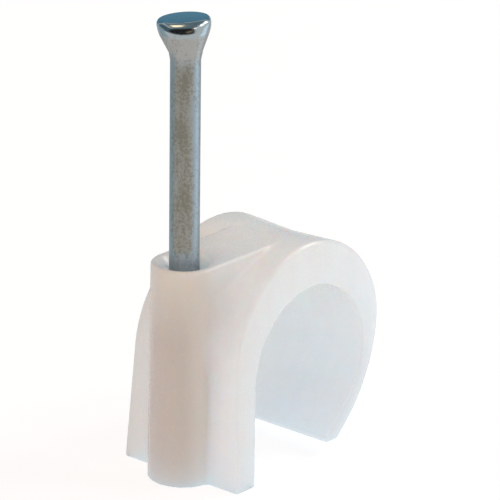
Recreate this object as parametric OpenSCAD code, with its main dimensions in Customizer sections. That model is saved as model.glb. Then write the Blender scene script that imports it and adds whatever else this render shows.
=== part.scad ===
// Nail-in cable clip: a moulded hook that grips a round cable, and the nail that fixes it to a wall.
// The wall is the plane z = 0, the nail stands on the Z axis and the cable runs along Y.

/* [Cable seat] */
// Diameter of the round of the hook that grips the cable
cable_d = 12.5; // [10:0.1:16]
// Height of the gripped cable's underside above the wall
cable_lift = 2.65; // [1.5:0.05:4]
// Extra radius of the seat on the side of the leg
bay_extra = 1.25; // [0.5:0.05:2]

/* [Hook] */
// Wall of the crown at its top
crown_t = 3.85; // [2.5:0.05:5]
// Wall of the hook at its widest point
arm_t = 2.05; // [1.5:0.05:3]
// Wall of the straight toe
toe_t = 1.4; // [1:0.05:2]
// Angle between the toe and the wall plane
toe_slope = 42; // [36:1:50]
// Gap between the end of the toe and the wall plane
toe_gap = 1.05; // [0.5:0.05:2]
// Rounding of the toe's lip, over which the cable snaps in
toe_lip = 0.3; // [0.1:0.05:0.4]
// Angle above the horizontal at which the crown runs into the bend
bend_from = 65; // [55:1:75]
// Angle above the horizontal at which the bend runs into the arm
arm_from = -11; // [-18:1:-4]

/* [Leg] */
// Thickness of the leg at its foot
leg_t = 2.3; // [1.8:0.05:3]
// Lean of the leg's outer face towards the hook
leg_lean = 3.2; // [1:0.1:5]
// Lean of the leg's inner face towards the hook
bay_lean = 3.6; // [1:0.1:5]
// Height of the leg's shoulder above the middle of the cable
shoulder_rise = 1.1; // [0:0.05:2]
// Width of the foot along the cable
foot_w = 12.4; // [9:0.1:16]
// Draft of the two side faces
side_draft = 3; // [0.5:0.1:4]

/* [Nail boss] */
// Wall between the rim of the nail's seat and the side of the boss
rim_wall = 0.5; // [0.3:0.02:1.2]
// Draft of the boss from its top to its foot
boss_draft = 0.6; // [0:0.1:2]
// Step from the crown down to the top of the boss
boss_drop = 0.2; // [0.05:0.05:1]
// Wall between the nail hole and the cable space at the foot
bore_wall = 0.65; // [0.4:0.05:1.5]
// Gap round the nail in its hole
bore_gap = 0.05; // [0.02:0.01:0.2]
// Gap round the nail's head once it is driven home
sink_gap = 0.05; // [0.02:0.01:0.2]

/* [Nail] */
// Diameter of the shank
nail_d = 2.5; // [1.8:0.1:3]
// Length from the point to the top of the head
nail_len = 39; // [30:0.1:60]
// Height of the point above the wall plane before driving
nail_lift = 0.6; // [0.2:0.1:4]
// Length of the point
point_len = 3.5; // [2:0.1:6]
// Flat at the very end of the point
point_flat = 0.5; // [0.2:0.1:1]
// Diameter of the head
head_d = 4.4; // [3.6:0.05:6]
// Angle between the underside of the head and the nail's axis
head_angle = 23.5; // [20:0.5:45]
// Radius of the swell from the cone of the head to its rim
cheek_r = 2.4; // [1.5:0.1:4]
// Rounding of the head's rim
rim_round = 0.35; // [0.1:0.05:0.6]
// Height of the domed top of the head above its rim
dome_h = 0.1; // [0.05:0.01:0.4]
// Skew of the cold-forged head from the nail's axis
head_skew = 5.5; // [0:0.5:8]
// Direction in which the head is skewed, round from +X
skew_dir = 95; // [0:5:355]

/* [Hidden] */
$fn = 96;

// Run-out of a cut past the surface that it opens
cut_past = 1;

// How far a round stands past the face or larger round that it runs into, and the turn over which they cross
round_past = 0.005;
round_turn = 10;

// A point at radius r and angle a round the centre c
function polar(c, r, a) = c + r * [cos(a), sin(a)];

// A point of a leaning face that stands at x = x0 on the wall plane
function leaning(x0, lean, z) = [x0 + z * tan(lean), z];

// Centre of the arc of radius r that touches a leaning face and reaches up to the height top
function under(x0, lean, r, top) =
    [x0 + (top - r) * tan(lean) + r / cos(lean), top - r];

// Centre of the arc of radius r1 that carries on from the arc (c, r) at angle a
function next_centre(c, r, r1, a) = c + (r - r1) * [cos(a), sin(a)];

// Nail hole and seat of the nail's head
bore_r = nail_d / 2 + bore_gap;
sink_r = head_d / 2 + sink_gap;
sink_depth = (sink_r - bore_r) / tan(head_angle);

// Leg faces on the wall plane
leg_in = bore_r + bore_wall;
leg_out = leg_in - leg_t;

// Inside of the hook: a roomy arc beside the leg, the gripping arc, then the straight toe
seat_r = cable_d / 2;
bay_r = seat_r + bay_extra;
seat_top = cable_lift + cable_d;
bay_c = under(leg_in, bay_lean, bay_r, seat_top);
seat_c = next_centre(bay_c, bay_r, seat_r, 90);
toe_a = toe_slope - 90;
toe_dir = [cos(toe_a), sin(toe_a)];

// Outside of the hook: crown, bend and arm arcs that run into each other, then the straight toe
crown_top = seat_top + crown_t;
shoulder_z = seat_c[1] + shoulder_rise;
crown_r = (crown_top - shoulder_z) / (1 - sin(leg_lean));
crown_c = under(leg_out, leg_lean, crown_r, crown_top);
hook_x = seat_c[0] + seat_r + arm_t;
bend_r = (hook_x - crown_c[0] - crown_r * cos(bend_from)) / (1 - cos(bend_from));
bend_c = next_centre(crown_c, crown_r, bend_r, bend_from);
toe_reach = seat_c * toe_dir + seat_r + toe_t;
arm_turn = cos(arm_from - toe_a);
arm_r = (toe_reach - bend_c * toe_dir - bend_r * arm_turn) / (1 - arm_turn);
arm_c = next_centre(bend_c, bend_r, arm_r, arm_from);

// Boss
boss_h = crown_top - boss_drop;
boss_top_r = sink_r + rim_wall;
boss_foot_r = boss_top_r + boss_h * tan(boss_draft);

// Nail head: a cone that swells into the rim, closed by a shallow dome
shank_r = nail_d / 2;
head_r = head_d / 2;
cheek_x = head_r - cheek_r;
rim_z = ((cheek_x - shank_r) * cos(head_angle) + cheek_r) / sin(head_angle);
cheek_c = [cheek_x, rim_z];
rim_in = head_r - rim_round;
rim_top = rim_z + rim_round;
dome_r = (rim_in * rim_in + dome_h * dome_h) / (2 * dome_h);
neck_z = nail_lift + nail_len - rim_top - dome_h;

// The head is askew about a point in its cone. The cone runs down into the shank, and the shank up into it
head_pivot = rim_z / 4;
neck_shift = head_pivot * tan(head_skew);
cone_lap = neck_shift / tan(head_angle - head_skew) + bore_gap;
neck_lap = neck_shift / tan(head_angle) + bore_gap;

// Point where the straight toe, touching the arc (c, r), comes down to the height z
function toe_point(c, r, z) =
    let (p = polar(c, r, toe_a))
    p - (p[1] - z) / tan(toe_slope) * [1, tan(toe_slope)];

// Middle of the arc that rounds the toe's lip, and how far out the sharp lip lies
lip_c = toe_point(seat_c, seat_r, toe_gap) + (toe_lip - round_past) * [1 / tan(toe_slope / 2), 1];
lip_far = toe_lip / sin(toe_slope / 2);

// Wedge between two directions from the point c
module wedge(c, reach, from, to) {
    middle = (from + to) / 2;
    polygon([c, polar(c, reach, from), polar(c, reach, middle), polar(c, reach, to)]);
}

// Slice of a disc between two angles
module sector(c, r, from, to) {
    intersection() {
        translate(c) circle(r);
        wedge(c, 2 * r, from, to);
    }
}

// Everything inside the outer line of the hook, down to the wall plane
module hook_outline() {
    sector(crown_c, crown_r + round_past, 180 - leg_lean + round_turn, bend_from);
    sector(bend_c, bend_r + 2 * round_past, bend_from + round_turn, arm_from - round_turn);
    sector(arm_c, arm_r + round_past, arm_from, toe_a - round_turn);
    polygon([
        [leg_out, 0],
        polar(crown_c, crown_r, 180 - leg_lean),
        polar(crown_c, crown_r, bend_from),
        polar(bend_c, bend_r, arm_from),
        polar(arm_c, arm_r, toe_a),
        toe_point(arm_c, arm_r, 0),
    ]);
}

// Space for the cable, open to the wall
module cable_space() {
    sector(bay_c, bay_r + round_past, 180 - bay_lean + round_turn, 90);
    sector(seat_c, seat_r + 2 * round_past, 90 + round_turn, toe_a - round_turn);
    polygon([
        leaning(leg_in, bay_lean, -cut_past),
        polar(bay_c, bay_r, 180 - bay_lean),
        polar(bay_c, bay_r, 90),
        polar(seat_c, seat_r, toe_a),
        toe_point(seat_c, seat_r, -cut_past),
    ]);
    translate(toe_point(seat_c, seat_r, -cut_past)) square([hook_x, toe_gap + cut_past]);
    difference() {
        wedge(lip_c, 2 * lip_far, toe_slope + 90, 270);
        translate(lip_c) circle(toe_lip);
    }
}

// A profile in x and z, as long as w along the cable
module along_cable(w) {
    rotate([90, 0, 0]) linear_extrude(height = w, center = true) children();
}

// A section in y and z that is w wide on the wall plane and narrows by draft to height h, from x0 to x1
module drafted(w, draft, h, x0, x1) {
    half = w / 2;
    top = half - h * tan(draft);
    translate([x0, 0, 0]) rotate([90, 0, 90]) linear_extrude(height = x1 - x0)
        polygon([[-half, 0], [half, 0], [top, h], [-top, h]]);
}

// Moulded clip: hook, half-round nail boss and the web that carries it into the crown
module clip_body() {
    color([0.93, 0.92, 0.90])
    difference() {
        union() {
            intersection() {
                along_cable(foot_w) hook_outline();
                drafted(foot_w, side_draft, crown_top, leg_out - cut_past, hook_x + cut_past);
            }
            cylinder(h = boss_h, r1 = boss_foot_r, r2 = boss_top_r);
            drafted(2 * boss_foot_r, boss_draft, boss_h, 0, crown_c[0]);
        }
        along_cable(foot_w + 2 * cut_past) cable_space();
        translate([0, 0, -cut_past]) cylinder(h = boss_h + 2 * cut_past, r = bore_r);
        translate([0, 0, boss_h - sink_depth])
            cylinder(h = sink_depth + cut_past, r1 = bore_r, r2 = sink_r + cut_past * tan(head_angle));
    }
}

// Head of the nail, standing on its neck
module nail_head() {
    cheek_z = polar(cheek_c, cheek_r, -head_angle - round_turn)[1];
    rotate_extrude() {
        translate([rim_in, rim_z]) circle(rim_round + round_past);
        intersection() {
            translate(cheek_c) circle(cheek_r + round_past);
            translate([0, cheek_z]) square([2 * head_r, rim_z - cheek_z]);
        }
        polygon([
            [0, -cone_lap],
            [shank_r - cone_lap * tan(head_angle), -cone_lap],
            polar(cheek_c, cheek_r, -head_angle),
            [rim_in, rim_top],
            [0, rim_top],
        ]);
    }
    intersection() {
        translate([0, 0, rim_top + dome_h - dome_r]) sphere(dome_r);
        translate([0, 0, rim_z]) cylinder(h = rim_round + 2 * dome_h, r = rim_in);
    }
}

// Countersunk nail with a blunt point, its cold-forged head a little askew
module nail() {
    color([0.62, 0.66, 0.69]) {
        translate([0, 0, nail_lift]) cylinder(h = point_len, r1 = point_flat / 2, r2 = shank_r);
        translate([0, 0, nail_lift + point_len])
            cylinder(h = neck_z + neck_lap - nail_lift - point_len, r = shank_r);
        translate([0, 0, neck_z + head_pivot]) rotate([0, 0, skew_dir]) rotate([0, head_skew, 0])
            translate([0, 0, -head_pivot]) nail_head();
    }
}

clip_body();
nail();
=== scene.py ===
"""Nail-in cable clip: a milky moulded hook for a round cable, and the zinc-plated nail that fixes it.

The wall is the plane z = 0, the nail stands on the Z axis and the cable runs along Y.
Sizes are in millimetres until a mesh, lamp or camera is made, and in metres from there on.
"""

import math

import bmesh
import bpy
import numpy as np
from mathutils import Matrix, Vector


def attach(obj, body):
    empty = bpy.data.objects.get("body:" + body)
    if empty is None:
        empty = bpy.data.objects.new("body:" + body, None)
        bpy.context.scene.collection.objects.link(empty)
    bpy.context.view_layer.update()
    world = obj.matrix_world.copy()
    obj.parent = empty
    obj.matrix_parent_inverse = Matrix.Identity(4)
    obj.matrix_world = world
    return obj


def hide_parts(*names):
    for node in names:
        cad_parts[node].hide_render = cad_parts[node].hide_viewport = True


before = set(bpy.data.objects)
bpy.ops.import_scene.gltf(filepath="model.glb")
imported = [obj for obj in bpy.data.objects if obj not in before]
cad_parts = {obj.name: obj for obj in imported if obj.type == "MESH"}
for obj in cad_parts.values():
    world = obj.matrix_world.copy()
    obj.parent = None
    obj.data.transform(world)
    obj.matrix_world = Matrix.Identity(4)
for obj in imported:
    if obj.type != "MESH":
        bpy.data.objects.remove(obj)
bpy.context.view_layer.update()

MM = 0.001
TAU = 2 * math.pi


# Sizes of the clip
CABLE_D = 12.5
CABLE_LIFT = 2.65
BAY_EXTRA = 1.25
CROWN_T = 3.85
ARM_T = 2.05
TOE_T = 1.4
TOE_SLOPE = 42
TOE_GAP = 1.05
TOE_LIP = 0.3
BEND_FROM = 65
ARM_FROM = -11
LEG_IN = 1.95
LEG_OUT = -0.35
LEG_LEAN = 3.2
BAY_LEAN = 3.6
SHOULDER_RISE = 1.1
FOOT_W = 12.4
SIDE_DRAFT = 3.0
BOSS_DROP = 0.2
BOSS_TOP_R = 2.745
BOSS_DRAFT = 0.6
BORE_R = 1.3
SINK_R = 2.25
SINK_ANGLE = 50
BELOW = -2.0

# Roundings and hollows that the mould leaves on the clip, and the size of the cells of its mesh
OUTER_EDGE = 0.2
CROWN_BEVEL = 0.2
BEVEL_SOFT = 0.15
BEVEL_GROWS = (11.0, 16.0)
BEVEL_NEAR = (0.0, -3.0)
INNER_EDGE = 0.15
FOOT_EDGE = 0.1
RIM_EDGE = 0.2
BORE_EDGE = 0.08
WEB_FILLET = 2.0
FOOT_FILLET = 0.25
FILLET_GROWS = (8.0, 14.0)
FILLET_ENDS = 3.0
VALLEY = 0.32
VALLEY_SOFT = 0.4
VALLEY_FROM = 6.0
VALLEY_FULL = 3.0
CELL = 0.14

# Sizes of the nail
SHANK_R = 1.25
NAIL_FOOT = 0.6
NAIL_TOP = 39.57
POINT_LEN = 3.5
POINT_R = 0.25
HEAD_R = 2.2
HEAD_ANGLE = 23.5
CHEEK_R = 2.4
RIM_RISE = 0.35
RIM_ROUND = (0.44, 0.37, 0.09)
RIM_SOFT_DIR = 225
DOME_H = 0.06
HEAD_SKEW = 5.5
SKEW_DIR = 95
NECK_LEN = 0.4
NAIL_SIDES = 120
SHANK_RINGS = 60
# Side of the shank, as X and Y, where the dull band lies: it faces the view, and the band there is partly a
# painted reflection
DULL_AND_REFLECTION_SIDE = (-0.88, -0.48)

# Colours of the plastic: its streaks, then painted shade on the boss with the nail behind it, painted light
# in the countersink and painted shade on the toe's sides
STREAK_DARK = (0.90, 0.88, 0.865, 1)
STREAK_LIGHT = (0.92, 0.91, 0.90, 1)
BOSS_PAINTED_SHADE = (0.68, 0.61, 0.575, 1)
SINK_PAINTED_LIGHT = (0.99, 0.985, 0.98, 1)
TOE_PAINTED_SHADE = (0.76, 0.74, 0.73, 1)

# Where that painted shade and light fade in, from nothing to full: by place in millimetres, or by how a
# face turns
BOSS_PAINTED_SHADE_R = (3.6, 2.8)
BOSS_PAINTED_SHADE_X = (-0.6, -2.4)
BOSS_PAINTED_SHADE_HIGH = (19.0, 12.0)
BOSS_PAINTED_SHADE_LOW = (-6.0, 3.0)
SINK_PAINTED_LIGHT_R = (2.4, 2.2)
SINK_PAINTED_LIGHT_DEPTH = (1.5, 1.0)
TOE_PAINTED_SHADE_TURN = (0.6, 0.95)
TOE_PAINTED_SHADE_X = (8.0, 12.0)
TOE_PAINTED_SHADE_Z = (14.0, 1.0)

# Colours of the zinc: clean on the shank, cone and head, then its dull patches, which along the side that
# faces the view are partly a painted reflection, and its pits
ZINC_SHANK = (0.29, 0.335, 0.36, 1)
ZINC_CONE = (0.36, 0.36, 0.345, 1)
ZINC_HEAD = (0.35, 0.40, 0.42, 1)
ZINC_DULL_AND_REFLECTION = (0.33, 0.32, 0.275, 1)
ZINC_PIT = (0.11, 0.105, 0.08, 1)

# Where the zinc changes, from nothing to full: below the nail's top, and above the boss and round the shank
# for the dull band that is partly a painted reflection
CONE_BELOW = (4.2, 2.6)
HEAD_BELOW = (1.5, 0.9)
DULL_AND_REFLECTION_BAND_ABOVE = (0.3, 1.6)
DULL_AND_REFLECTION_BAND_ROUND = (0.45, 0.98)

# The photograph's view: angles in degrees, distances in millimetres
VIEW_YAW = 49.46
VIEW_PITCH = 20.41
VIEW_ROLL = 0.67
VIEW_DISTANCE = 371.9
VIEW_HEIGHT = 19.86
VIEW_ASIDE = 5.336
VIEW_LENS = 329.46
SENSOR = 36.0

# Soft light of the room: turn to the right of the view and rise, in degrees, and colour
ROOM_LIGHT = (
    (0, 10, (0.26, 0.35, 0.37)),
    (45, 10, (0.24, 0.37, 0.45)),
    (90, 10, (0.00, 0.01, 0.05)),
    (135, 10, (0.02, 0.06, 0.11)),
    (180, 10, (0.43, 0.46, 0.50)),
    (225, 10, (0.50, 0.42, 0.42)),
    (270, 10, (0.07, 0.03, 0.01)),
    (0, 90, (0.37, 0.23, 0.12)),
)
LOBE_EDGE = 0.4

# Floor: its size in metres, its paint and light for the clip, and the same where it is seen
FLOOR_SIZE = 4.0
FLOOR_PAINT = (0.85, 0.85, 0.85, 1)
FLOOR_LIGHT = (0.22, 0.29, 0.32, 1)
SEEN_PAINT = (0.3, 0.3, 0.3, 1)
SEEN_LIGHT = (0.8, 0.8, 0.81, 1)

# Softboxes: place right of the clip's middle, above it and ahead in the view, size, power and colour
SOFTBOXES = (
    (0.40, 0.36, 0.20, 0.12, 0.60, (0.95, 0.98, 1.0)),
    (0.37, 0.38, -0.02, 0.12, 0.35, (0.97, 0.99, 1.0)),
    (0.28, 0.40, -0.30, 0.08, 0.10, (1.0, 0.85, 0.70)),
    (0.17, 0.21, -0.54, 0.06, 0.08, (1.0, 0.70, 0.40)),
    (-0.15, 0.50, 0.00, 0.20, 0.42, (1.0, 0.74, 0.46)),
)

# Cards that only metal and gloss see: corner and two sides, as right, ahead and up in metres, and colour
CARDS = (
    ("card_front", (-0.65, -0.30, 0.0), (0.90, 0, 0), (0, 0, 0.5), (0.01, 0.01, 0.012)),
    ("card_back", (-0.35, 0.35, 0.0), (0.43, 0, 0), (0, 0, 0.35), (0.14, 0.33, 0.46)),
    ("card_back_right", (0.08, 0.35, 0.10), (0.27, 0, 0), (0, 0, 0.25), (0.14, 0.33, 0.46)),
    ("card_top", (-0.5, -0.6, 0.7), (1.0, 0, 0), (0, 1.2, 0), (0.22, 0.30, 0.34)),
    ("card_behind", (-0.3, 0.03, 0.002), (0.6, 0, 0), (0, 0.3, 0), (0.7, 0.72, 0.74)),
    ("card_far_left", (-0.45, -0.3, 0.0), (0, 0.65, 0), (0, 0, 0.5), (0.12, 0.20, 0.24)),
    ("card_right", (0.045, 0.025, 0.0), (0, -0.03, 0), (0, 0, 0.045), (1.4, 1.6, 1.75)),
    ("card_left", (-0.04, 0.045, 0.0), (0, -0.05, 0), (0, 0, 0.045), (0.55, 0.68, 0.74)),
)


def polar(centre, radius, degrees):
    """The point at an angle round a centre, in the plane of the hook."""
    turn = math.radians(degrees)
    return (centre[0] + radius * math.cos(turn), centre[1] + radius * math.sin(turn))


def arc(centre, radius, start, end):
    """Points along an arc, about one to every three degrees."""
    count = max(3, round(abs(end - start) / 3))
    return [polar(centre, radius, start + (end - start) * i / count) for i in range(count + 1)]


def rounded_corner(before, corner, after, radius):
    """Points of the arc that rounds a corner of an outline."""
    corner = Vector(corner)
    back = (Vector(before) - corner).normalized()
    ahead = (Vector(after) - corner).normalized()
    half = back.angle(ahead) / 2
    reach = radius / math.tan(half)
    middle = corner + (back + ahead).normalized() * (radius / math.sin(half))
    start = corner + back * reach - middle
    end = corner + ahead * reach - middle
    steps = 12
    points = []
    for i in range(steps + 1):
        spoke = start.slerp(end, i / steps).normalized()
        points.append(tuple(middle + spoke * radius))
    return points


def under(foot, lean, radius, top):
    """Centre of the arc that touches a leaning face and reaches up to a height."""
    slope = math.radians(lean)
    return (foot + (top - radius) * math.tan(slope) + radius / math.cos(slope), top - radius)


def toe_line(centre, radius, z):
    """Where the straight toe, touching an arc, comes down to a height."""
    touch = polar(centre, radius, TOE_SLOPE - 90)
    return (touch[0] - (touch[1] - z) / math.tan(math.radians(TOE_SLOPE)), z)


# Inside of the hook: a roomy arc beside the leg, the gripping arc, then the straight toe
toe_angle = TOE_SLOPE - 90
seat_r = CABLE_D / 2
bay_r = seat_r + BAY_EXTRA
seat_top = CABLE_LIFT + CABLE_D
bay_c = under(LEG_IN, BAY_LEAN, bay_r, seat_top)
seat_c = polar(bay_c, BAY_EXTRA, 90)

# Outside of the hook: crown, bend and arm arcs that run into each other, then the straight toe
crown_top = seat_top + CROWN_T
boss_top = crown_top - BOSS_DROP
crown_r = (crown_top - seat_c[1] - SHOULDER_RISE) / (1 - math.sin(math.radians(LEG_LEAN)))
crown_c = under(LEG_OUT, LEG_LEAN, crown_r, crown_top)
hook_x = seat_c[0] + seat_r + ARM_T
bend_cos = math.cos(math.radians(BEND_FROM))
bend_r = (hook_x - crown_c[0] - crown_r * bend_cos) / (1 - bend_cos)
bend_c = polar(crown_c, crown_r - bend_r, BEND_FROM)
toe_x, toe_z = polar((0, 0), 1, toe_angle)
toe_reach = seat_c[0] * toe_x + seat_c[1] * toe_z + seat_r + TOE_T
arm_turn = math.cos(math.radians(ARM_FROM - toe_angle))
bend_reach = bend_c[0] * toe_x + bend_c[1] * toe_z
arm_r = (toe_reach - bend_reach - bend_r * arm_turn) / (1 - arm_turn)
arm_c = polar(bend_c, bend_r - arm_r, ARM_FROM)


def hook_outline():
    """Outer line of the hook, down to below the wall plane."""
    slope = math.tan(math.radians(LEG_LEAN))
    points = [(LEG_OUT + BELOW * slope, BELOW)]
    points += arc(crown_c, crown_r, 180 - LEG_LEAN, BEND_FROM)
    points += arc(bend_c, bend_r, BEND_FROM, ARM_FROM)[1:]
    points += arc(arm_c, arm_r, ARM_FROM, toe_angle)[1:]
    points.append(toe_line(arm_c, arm_r, BELOW))
    return points


def cable_outline():
    """Line round the space for the cable, open to the wall and under the end of the toe."""
    slope = math.tan(math.radians(BAY_LEAN))
    touch = polar(seat_c, seat_r, toe_angle)
    lip = toe_line(seat_c, seat_r, TOE_GAP)
    outside = (hook_x - BELOW, TOE_GAP)
    points = [(LEG_IN + BELOW * slope, BELOW)]
    points += arc(bay_c, bay_r, 180 - BAY_LEAN, 90)
    points += arc(seat_c, seat_r, 90, toe_angle)[1:]
    points += rounded_corner(touch, lip, outside, TOE_LIP)
    points += [outside, (outside[0], BELOW)]
    return points


def outline_distance(x, z, points):
    """Distance to a closed outline in the plane of the hook, negative inside it."""
    nearest = np.full(np.broadcast(x, z).shape, np.inf)
    inside = np.zeros(nearest.shape, bool)
    for (ax, az), (bx, bz) in zip(points, points[1:] + points[:1]):
        run, rise = bx - ax, bz - az
        along = np.clip(((x - ax) * run + (z - az) * rise) / (run * run + rise * rise), 0, 1)
        nearest = np.minimum(nearest, (x - ax - along * run) ** 2 + (z - az - along * rise) ** 2)
        if rise:
            crossed = (az > z) != (bz > z)
            inside ^= crossed & (x < ax + (z - az) * run / rise)
    return np.sqrt(nearest) * np.where(inside, -1.0, 1.0)


def both(a, b, radius):
    """Distance to what two solids share, with a rounded edge where they meet."""
    corner = np.hypot(np.maximum(a + radius, 0), np.maximum(b + radius, 0))
    return np.minimum(np.maximum(a, b), -radius) + corner


def either(a, b, radius):
    """Distance to two solids together, with a hollow fillet where they meet."""
    corner = np.hypot(np.maximum(radius - a, 0), np.maximum(radius - b, 0))
    return np.maximum(np.minimum(a, b), radius) - corner


def ease(low, high, value):
    """Smooth step from 0 at low to 1 at high."""
    t = np.clip((value - low) / (high - low), 0, 1)
    return t * t * (3 - 2 * t)


def clip_distance(x, y, z):
    """Distance to the moulded clip, negative inside it."""
    draft = math.radians(SIDE_DRAFT)
    sides = (np.abs(y) - FOOT_W / 2 + z * math.tan(draft)) * math.cos(draft)
    outside = outline_distance(x, z, hook_outline())
    hook = both(outside, sides, OUTER_EDGE)
    bevel = CROWN_BEVEL * ease(*BEVEL_GROWS, z) * ease(*BEVEL_NEAR, y)
    hook = both(hook, (outside + sides) * math.sqrt(0.5) + bevel, BEVEL_SOFT)

    middle = np.maximum(1 - np.sqrt(y * y + VALLEY_SOFT * VALLEY_SOFT) / (FOOT_W / 2), 0)
    hook = hook + VALLEY * middle * ease(crown_top - VALLEY_FROM, crown_top - VALLEY_FULL, z)

    lean = math.radians(BOSS_DRAFT)
    from_axis = np.hypot(np.minimum(x, 0), y)
    wall = (from_axis - BOSS_TOP_R - (boss_top - z) * math.tan(lean)) * math.cos(lean)
    wall = np.maximum(wall, x - crown_c[0])
    wide = ease(*FILLET_GROWS, z) * ease(0, FILLET_ENDS, boss_top - z)
    boss = either(hook, wall, FOOT_FILLET + (WEB_FILLET - FOOT_FILLET) * wide)
    boss = both(boss, z - boss_top, RIM_EDGE)
    solid = both(np.minimum(hook, boss), -z, FOOT_EDGE)
    solid = both(solid, -outline_distance(x, z, cable_outline()), INNER_EDGE)

    across = np.hypot(x, y)
    cone = math.radians(SINK_ANGLE)
    seat = (across - SINK_R + (boss_top - z) * math.tan(cone)) * math.cos(cone)
    hole = np.minimum(across - BORE_R, seat)
    return both(solid, -hole, BORE_EDGE)


def skin(distance, low, high, cell):
    """Vertices and quads of the surface where a distance is zero, a vertex to each cell that it crosses."""
    counts = [int(math.ceil((h - l) / cell)) + 1 for l, h in zip(low, high)]
    axes = [l + cell * np.arange(n) for l, n in zip(low, counts)]
    values = distance(axes[0][:, None, None], axes[1][None, :, None], axes[2][None, None, :])
    inside = values < 0
    total = np.zeros([n - 1 for n in counts] + [3])
    hits = np.zeros([n - 1 for n in counts])
    quads = []
    numbers = np.full(hits.shape, -1)
    edges = []
    for axis in range(3):
        first = [slice(None)] * 3
        last = [slice(None)] * 3
        first[axis] = slice(0, -1)
        last[axis] = slice(1, None)
        at = np.argwhere(inside[tuple(first)] != inside[tuple(last)])
        step = np.zeros(3, int)
        step[axis] = 1
        start = values[tuple(at.T)]
        end = values[tuple((at + step).T)]
        point = at.astype(float)
        point[:, axis] += start / (start - end)
        others = [(axis + 1) % 3, (axis + 2) % 3]
        ring = []
        for u, v in ((-1, -1), (0, -1), (0, 0), (-1, 0)):
            cells = at.copy()
            cells[:, others[0]] += u
            cells[:, others[1]] += v
            np.add.at(total, tuple(cells.T), point)
            np.add.at(hits, tuple(cells.T), 1)
            ring.append(cells)
        edges.append((ring, start < 0))
    crossed = hits > 0
    numbers[crossed] = np.arange(crossed.sum())
    vertices = total[crossed] / hits[crossed][:, None] * cell + np.array(low)
    for ring, outward in edges:
        quad = np.stack([numbers[tuple(cells.T)] for cells in ring], axis=1)
        quads.append(np.where(outward[:, None], quad, quad[:, ::-1]))
    return vertices, np.concatenate(quads)


def settle(distance, vertices):
    """Moves vertices onto the surface where a distance is zero, and gives the surface's normals there."""
    reach = 0.01
    least_steep = 0.25
    for turn in range(3):
        here = distance(*vertices.T)
        slope = np.empty_like(vertices)
        for axis in range(3):
            beside = vertices.copy()
            beside[:, axis] += reach
            slope[:, axis] = (distance(*beside.T) - here) / reach
        steep = np.maximum((slope * slope).sum(axis=1), least_steep)
        if turn < 2:
            vertices = vertices - slope * (here / steep)[:, None]
    return vertices, slope / np.sqrt((slope * slope).sum(axis=1))[:, None]


def new_piece(name, mesh):
    """A mesh object at the origin, in the scene's own collection."""
    piece = bpy.data.objects.new(name, mesh)
    bpy.context.scene.collection.objects.link(piece)
    return piece


def clip_moulding():
    """The clip with the soft edges and fillets that the mould gives it."""
    margin = 2 * CELL
    boss_foot_r = BOSS_TOP_R + boss_top * math.tan(math.radians(BOSS_DRAFT))
    low = (-boss_foot_r - margin, -FOOT_W / 2 - margin, -margin)
    high = (hook_x + margin, FOOT_W / 2 + margin, crown_top + margin)
    vertices, quads = skin(clip_distance, low, high, CELL)
    vertices, normals = settle(clip_distance, vertices)
    mesh = bpy.data.meshes.new("clip_moulding")
    mesh.from_pydata((vertices * MM).tolist(), [], quads.tolist())
    mesh.shade_smooth()
    mesh.normals_split_custom_set_from_vertices(normals.tolist())
    return new_piece("clip_moulding", mesh)


def head_rings(turns):
    """Radius and height above the neck of each ring of the nail's head, at some turns round its axis."""
    slope = math.radians(HEAD_ANGLE)
    cheek_x = HEAD_R - CHEEK_R
    rim_z = ((cheek_x - SHANK_R) * math.cos(slope) + CHEEK_R) / math.sin(slope)
    from_soft = turns - math.radians(RIM_SOFT_DIR)
    soft = sum(size * np.cos(i * from_soft) for i, size in enumerate(RIM_ROUND))
    top = rim_z + RIM_RISE
    rim_h = top - soft
    rim_x = cheek_x + np.sqrt((CHEEK_R - soft) ** 2 - (rim_h - rim_z) ** 2)
    rim_from = np.arctan2(rim_h - rim_z, rim_x - cheek_x)
    touch_x, touch_z = polar((cheek_x, rim_z), CHEEK_R, -HEAD_ANGLE)
    rings = []
    # The cone, the cheek, the rim and the domed top
    for share in np.linspace(0.2, 1, 7):
        rings.append((SHANK_R + (touch_x - SHANK_R) * share + 0 * turns, touch_z * share + 0 * turns))
    for share in np.linspace(0.1, 1, 10):
        angle = -slope + (rim_from + slope) * share
        rings.append((cheek_x + CHEEK_R * np.cos(angle), rim_z + CHEEK_R * np.sin(angle)))
    for share in np.linspace(0.08, 1, 12):
        angle = rim_from + (math.pi / 2 - rim_from) * share
        rings.append((rim_x + soft * np.cos(angle), rim_h + soft * np.sin(angle)))
    for share in np.linspace(0.9, 0, 10):
        rings.append((rim_x * share, top + DOME_H * (1 - share * share) + 0 * turns))
    return rings, top + DOME_H, rim_z / 4


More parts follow.
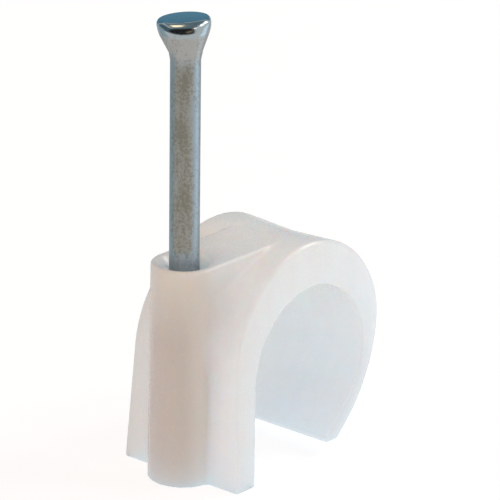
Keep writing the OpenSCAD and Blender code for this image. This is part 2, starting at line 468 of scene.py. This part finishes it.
def nail_wire():
    """The nail: a drawn wire with a blunt point and a cold-forged head, a little askew."""
    turns = TAU * np.arange(NAIL_SIDES) / NAIL_SIDES
    head, head_h, pivot = head_rings(turns)
    neck = NAIL_TOP - head_h
    shank_foot = NAIL_FOOT + POINT_LEN
    shank_end = neck - NECK_LEN
    profile = [(0.0, NAIL_FOOT), (POINT_R, NAIL_FOOT)]
    profile += [(SHANK_R, z) for z in np.linspace(shank_foot, shank_end, SHANK_RINGS)]
    toward_skew = Matrix.Rotation(math.radians(SKEW_DIR), 3, "Z")
    skew = Matrix.Rotation(math.radians(HEAD_SKEW), 3, "Y")
    lean = np.array(toward_skew @ skew @ toward_skew.transposed())
    rings = []
    for radius, z in profile:
        rings.append(np.stack([radius * np.cos(turns), radius * np.sin(turns), z + 0 * turns], axis=1))
    for radius, z in head:
        ring = np.stack([radius * np.cos(turns), radius * np.sin(turns), z - pivot], axis=1)
        rings.append(ring @ lean.T + (0, 0, neck + pivot))

    build = bmesh.new()
    spots = []
    for ring in rings:
        closed = np.ptp(ring, axis=0).max() < 1e-6
        spots.append([build.verts.new(spot * MM) for spot in (ring[:1] if closed else ring)])
    for below, above in zip(spots, spots[1:]):
        for i in range(NAIL_SIDES):
            j = (i + 1) % NAIL_SIDES
            corners = [below[i % len(below)], below[j % len(below)]]
            corners += [above[j % len(above)], above[i % len(above)]]
            build.faces.new(list(dict.fromkeys(corners)))
    mesh = bpy.data.meshes.new("nail_wire")
    build.to_mesh(mesh)
    build.free()
    mesh.shade_smooth()
    return new_piece("nail_wire", mesh)


class Value:
    """A number on its way through a shader. Arithmetic on it adds Math nodes."""

    def __init__(self, finish, socket):
        self.finish = finish
        self.socket = socket

    def maths(self, operation, *numbers):
        """A Math node on some numbers, of which this may be one."""
        return self.finish.node("ShaderNodeMath", {"operation": operation}, dict(enumerate(numbers)))

    def __add__(self, other):
        return self.maths("ADD", self, other)

    def __sub__(self, other):
        return self.maths("SUBTRACT", self, other)

    def __rsub__(self, other):
        return self.maths("SUBTRACT", other, self)

    def __mul__(self, other):
        return self.maths("MULTIPLY", self, other)

    def __truediv__(self, other):
        return self.maths("DIVIDE", self, other)

    def __pow__(self, other):
        return self.maths("POWER", self, other)

    __radd__ = __add__
    __rmul__ = __mul__


class Finish:
    """A procedural material, and the one way in which nodes are added to it."""

    def __init__(self, name, owner=None):
        if owner is None:
            owner = bpy.data.materials.new(name)
        owner.use_nodes = True
        self.owner = owner
        self.tree = owner.node_tree
        self.tree.nodes.clear()

    def node(self, kind, settings=None, sockets=None, output=0):
        """Adds a node with its settings and the values or links of its sockets, and gives an output."""
        node = self.tree.nodes.new(kind)
        for name, setting in (settings or {}).items():
            setattr(node, name, setting)
        for name, value in (sockets or {}).items():
            if isinstance(value, Value):
                self.tree.links.new(value.socket, node.inputs[name])
            else:
                node.inputs[name].default_value = value
        return Value(self, node.outputs[output])

    def noise(self, place, scale, detail=2.0, roughness=0.5):
        """Cloudy noise from 0 to 1."""
        sockets = {"Vector": place, "Scale": scale, "Detail": detail, "Roughness": roughness}
        return self.node("ShaderNodeTexNoise", {}, sockets)

    def mix(self, share, first, second):
        """A colour between two others, which are the seventh and eighth sockets of the node."""
        sockets = {0: share, 6: first, 7: second}
        return self.node("ShaderNodeMix", {"data_type": "RGBA"}, sockets, output=2)

    def step(self, value, low, high):
        """Smooth step from 0 at low to 1 at high."""
        sockets = {"Value": value, "From Min": low, "From Max": high}
        return self.node("ShaderNodeMapRange", {"interpolation_type": "SMOOTHSTEP"}, sockets)

    def place(self, scale):
        """Place on the piece in millimetres, stretched by a scale for each axis."""
        spot = self.node("ShaderNodeTexCoord", output="Object")
        wide = tuple(s / MM for s in scale)
        return self.node("ShaderNodeVectorMath", {"operation": "MULTIPLY"}, {0: spot, 1: wide})

    def vector(self, operation, *vectors, output="Vector"):
        """A Vector Math node on some vectors."""
        return self.node("ShaderNodeVectorMath", {"operation": operation}, dict(enumerate(vectors)), output)

    def part(self, vector, axis):
        """One coordinate of a vector."""
        return self.node("ShaderNodeSeparateXYZ", {}, {"Vector": vector}, output=axis)

    def bump(self, height, strength, distance):
        """A normal that follows a height."""
        sockets = {"Height": height, "Strength": strength, "Distance": distance}
        return self.node("ShaderNodeBump", {}, sockets)

    def close(self, shader, kind="ShaderNodeOutputMaterial"):
        """Links a shader to the output, and gives the material or world."""
        end = self.tree.nodes.new(kind)
        self.tree.links.new(shader.socket, end.inputs["Surface"])
        return self.owner


def milky_plastic():
    """Uncoloured moulded plastic: light goes some way into it, and its flow leaves faint streaks. Painted
    shade darkens the boss round the nail and the toe's sides, and painted light brightens the countersink.
    """
    finish = Finish("milky_plastic")
    spot = finish.place((1, 1, 1))
    streaks = finish.noise(finish.place((0.9, 0.9, 0.12)), 1.0, 3.0)
    clouds = finish.noise(spot, 0.25, 2.0)
    tone = finish.step(streaks * 0.5 + clouds * 0.5, 0.35, 0.65)
    colour = finish.mix(tone, STREAK_DARK, STREAK_LIGHT)
    from_axis = finish.vector("LENGTH", finish.place((1, 1, 0)), output="Value")
    x, z = (finish.part(spot, axis) for axis in "XZ")
    # Painted shade: the boss darker and warmer round the nail, less so towards the leg, the foot and the
    # top
    boss_painted_shade = finish.step(from_axis, *BOSS_PAINTED_SHADE_R) * finish.step(x, *BOSS_PAINTED_SHADE_X)
    boss_painted_shade = boss_painted_shade * finish.step(z, *BOSS_PAINTED_SHADE_HIGH) * finish.step(z, *BOSS_PAINTED_SHADE_LOW)
    colour = finish.mix(boss_painted_shade, colour, BOSS_PAINTED_SHADE)
    # Painted light: the countersink made lighter than the rest of the plastic
    sink_from, sink_full = (boss_top - depth for depth in SINK_PAINTED_LIGHT_DEPTH)
    sink_painted_light = finish.step(from_axis, *SINK_PAINTED_LIGHT_R) * finish.step(z, sink_from, sink_full)
    colour = finish.mix(sink_painted_light, colour, SINK_PAINTED_LIGHT)
    # Painted shade: the flat sides of the arm and toe made darker, more so low down
    facing = finish.node("ShaderNodeTexCoord", output="Normal")
    side = finish.step(finish.part(facing, "Y") ** 2.0, *TOE_PAINTED_SHADE_TURN)
    toe = side * finish.step(x, *TOE_PAINTED_SHADE_X) * finish.step(z, *TOE_PAINTED_SHADE_Z)
    colour = finish.mix(toe, colour, TOE_PAINTED_SHADE)
    grain = finish.noise(spot, 9.0, 3.0)
    shader = finish.node("ShaderNodeBsdfPrincipled", {"subsurface_method": "RANDOM_WALK"}, {
        "Base Color": colour,
        "Roughness": grain * 0.12 + 0.2,
        "IOR": 1.5,
        "Subsurface Weight": 1.0,
        "Subsurface Radius": (0.5, 0.8, 1.15),
        "Subsurface Scale": 9.0 * MM,
        "Normal": finish.bump(grain, 0.1, 0.01 * MM),
    })
    return finish.close(shader)


def zinc_plate():
    """Zinc over steel wire: mottled bluish grey, smooth on the head, and dull and olive along the side that
    faces the view, where the band is partly a painted reflection.
    """
    finish = Finish("zinc_plate")
    spot = finish.place((1, 1, 1))
    height = finish.part(spot, "Z")
    cone = finish.step(height, *(NAIL_TOP - depth for depth in CONE_BELOW))
    head = finish.step(height, *(NAIL_TOP - depth for depth in HEAD_BELOW))
    blotches = finish.noise(finish.place((1, 1, 0.3)), 1.3, 4.0, 0.6)
    speckles = finish.noise(spot, 4.6, 3.0, 0.7)
    # Partly painted reflection: a dull olive band on the side of the shank that faces the view, ending just
    # above the boss
    drawn = finish.vector("DOT_PRODUCT", spot, (*DULL_AND_REFLECTION_SIDE, 0), output="Value")
    dull_and_reflection_band = finish.step(drawn / SHANK_R, *DULL_AND_REFLECTION_BAND_ROUND) * (1 - cone)
    dull_and_reflection_band = dull_and_reflection_band * finish.step(height, *(boss_top + rise for rise in DULL_AND_REFLECTION_BAND_ABOVE))
    dull = finish.step(blotches * 0.5 + speckles * 0.2 + dull_and_reflection_band * 0.4, 0.45, 0.8)
    pits = finish.step(speckles + blotches * 0.6 + dull_and_reflection_band * 0.08, 0.78, 1.0)
    clean = finish.mix(cone, ZINC_SHANK, ZINC_CONE)
    clean = finish.mix(head, clean, ZINC_HEAD)
    colour = finish.mix(dull * (1 - head), clean, ZINC_DULL_AND_REFLECTION)
    colour = finish.mix(pits * (0.4 - head * 0.25), colour, ZINC_PIT)
    shader = finish.node("ShaderNodeBsdfPrincipled", {}, {
        "Base Color": colour,
        "Metallic": 1.0,
        "Roughness": dull * 0.1 + 0.36 - head * 0.16,
        "Normal": finish.bump(blotches + speckles * 0.5, 0.2, 0.02 * MM),
    })
    return finish.close(shader)


def dress(piece, material, node):
    """Gives a piece its material and its place in the frame."""
    piece.data.materials.append(material)
    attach(piece, "root")
    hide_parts(node)


def view_axes():
    """Right and forward directions of the photograph's view, with the camera's roll left out."""
    yaw, pitch = math.radians(VIEW_YAW), math.radians(VIEW_PITCH)
    level = math.cos(pitch)
    forward = Vector((math.sin(yaw) * level, math.cos(yaw) * level, -math.sin(pitch)))
    right = Vector((math.cos(yaw), -math.sin(yaw), 0))
    return right, forward


def add_camera():
    """The photograph's long lens, seen from the left of the clip and a little above it."""
    right, forward = view_axes()
    up = right.cross(forward)
    roll = math.radians(VIEW_ROLL)
    tilted = Matrix((
        right * math.cos(roll) + up * math.sin(roll),
        up * math.cos(roll) - right * math.sin(roll),
        -forward,
    )).transposed()
    aim = Vector((0, 0, VIEW_HEIGHT)) + right * VIEW_ASIDE
    lens = bpy.data.cameras.new("camera")
    lens.sensor_width = SENSOR
    lens.lens = VIEW_LENS
    lens.clip_start = 0.01
    camera = new_piece("camera", lens)
    camera.matrix_world = Matrix.Translation((aim - forward * VIEW_DISTANCE) * MM) @ tilted.to_4x4()
    bpy.context.scene.camera = camera


def level_axes():
    """Right and forward directions of the photograph's view, laid level."""
    right, forward = view_axes()
    return right, Vector((forward.x, forward.y, 0)).normalized()


def toward(turn, rise):
    """Direction at a turn to the right of the view and a rise above the level, in degrees."""
    right, flat = level_axes()
    level = math.cos(math.radians(rise))
    across = right * math.sin(math.radians(turn)) + flat * math.cos(math.radians(turn))
    return across * level + Vector((0, 0, math.sin(math.radians(rise))))


def add_softbox(name, aside, rise, ahead, size, power, colour):
    """A square softbox that faces the clip's middle, placed from there in metres."""
    right, flat = level_axes()
    middle = Vector((crown_c[0], 0, NAIL_TOP / 2)) * MM
    spot = right * aside + Vector((0, 0, rise)) + flat * ahead
    lamp = bpy.data.lights.new(name, "AREA")
    lamp.size = size
    lamp.energy = power
    lamp.color = colour
    lamp_object = new_piece(name, lamp)
    lamp_object.location = middle + spot
    lamp_object.rotation_euler = (-spot).to_track_quat("-Z", "Y").to_euler()


def add_card(name, corner, across, along, colour):
    """A card that shows only in reflections, from a corner and two sides in the view's level axes."""
    right, flat = level_axes()
    turn = Matrix((right, flat, (0, 0, 1))).transposed()
    start, wide, long = (turn @ Vector(v) for v in (corner, across, along))
    mesh = bpy.data.meshes.new(name)
    mesh.from_pydata([start, start + wide, start + wide + long, start + long], [], [(0, 1, 2, 3)])
    finish = Finish(name)
    mesh.materials.append(finish.close(finish.node("ShaderNodeEmission", {}, {"Color": (*colour, 1)})))
    card = new_piece(name, mesh)
    card.visible_camera = False
    card.visible_diffuse = False
    card.visible_transmission = False
    card.visible_shadow = False


def seen_white(finish):
    """One for rays that see the background, also in a reflection, and nothing for the light it gives."""
    camera = finish.node("ShaderNodeLightPath", output="Is Camera Ray")
    glossy = finish.node("ShaderNodeLightPath", output="Is Glossy Ray")
    through = finish.node("ShaderNodeLightPath", output="Is Transmission Ray")
    return camera.maths("MINIMUM", camera + glossy + through, 1.0)


def add_room():
    """White background, a plain pale floor under the clip, soft light all round, softboxes and cards."""
    world = bpy.data.worlds.new("room")
    bpy.context.scene.world = world
    finish = Finish("room", world)
    ray = finish.node("ShaderNodeTexCoord", output="Generated")
    shade = (0, 0, 0)
    for turn, rise, colour in ROOM_LIGHT:
        along = finish.vector("DOT_PRODUCT", ray, toward(turn, rise), output="Value")
        shade = finish.vector("MULTIPLY_ADD", finish.step(along, LOBE_EDGE, 1.0), colour, shade)
    dim = finish.node("ShaderNodeBackground", {}, {"Color": shade, "Strength": 1.0})
    white = finish.node("ShaderNodeBackground", {}, {"Color": (1, 1, 1, 1), "Strength": 1.0})
    shader = finish.node("ShaderNodeMixShader", {}, {0: seen_white(finish), 1: dim, 2: white})
    finish.close(shader, "ShaderNodeOutputWorld")

    half = FLOOR_SIZE / 2
    corners = [(-half, -half, 0), (half, -half, 0), (half, half, 0), (-half, half, 0)]
    mesh = bpy.data.meshes.new("floor")
    mesh.from_pydata(corners, [], [(0, 1, 2, 3)])
    floor = new_piece("floor", mesh)
    pale = Finish("pale_floor")
    seen = seen_white(pale)
    paint = pale.node("ShaderNodeBsdfDiffuse", {}, {
        "Color": pale.mix(seen, FLOOR_PAINT, SEEN_PAINT),
    })
    glow = pale.node("ShaderNodeEmission", {}, {
        "Color": pale.mix(seen, FLOOR_LIGHT, SEEN_LIGHT),
        "Strength": 1.0,
    })
    mesh.materials.append(pale.close(pale.node("ShaderNodeAddShader", {}, {0: paint, 1: glow})))

    for i, softbox in enumerate(SOFTBOXES):
        add_softbox(f"softbox_{i}", *softbox)

    for name, *card in CARDS:
        add_card(name, *card)


add_camera()
dress(clip_moulding(), milky_plastic(), "clip_body")
dress(nail_wire(), zinc_plate(), "nail")
add_room()

bpy.context.scene.view_settings.view_transform = "Standard"
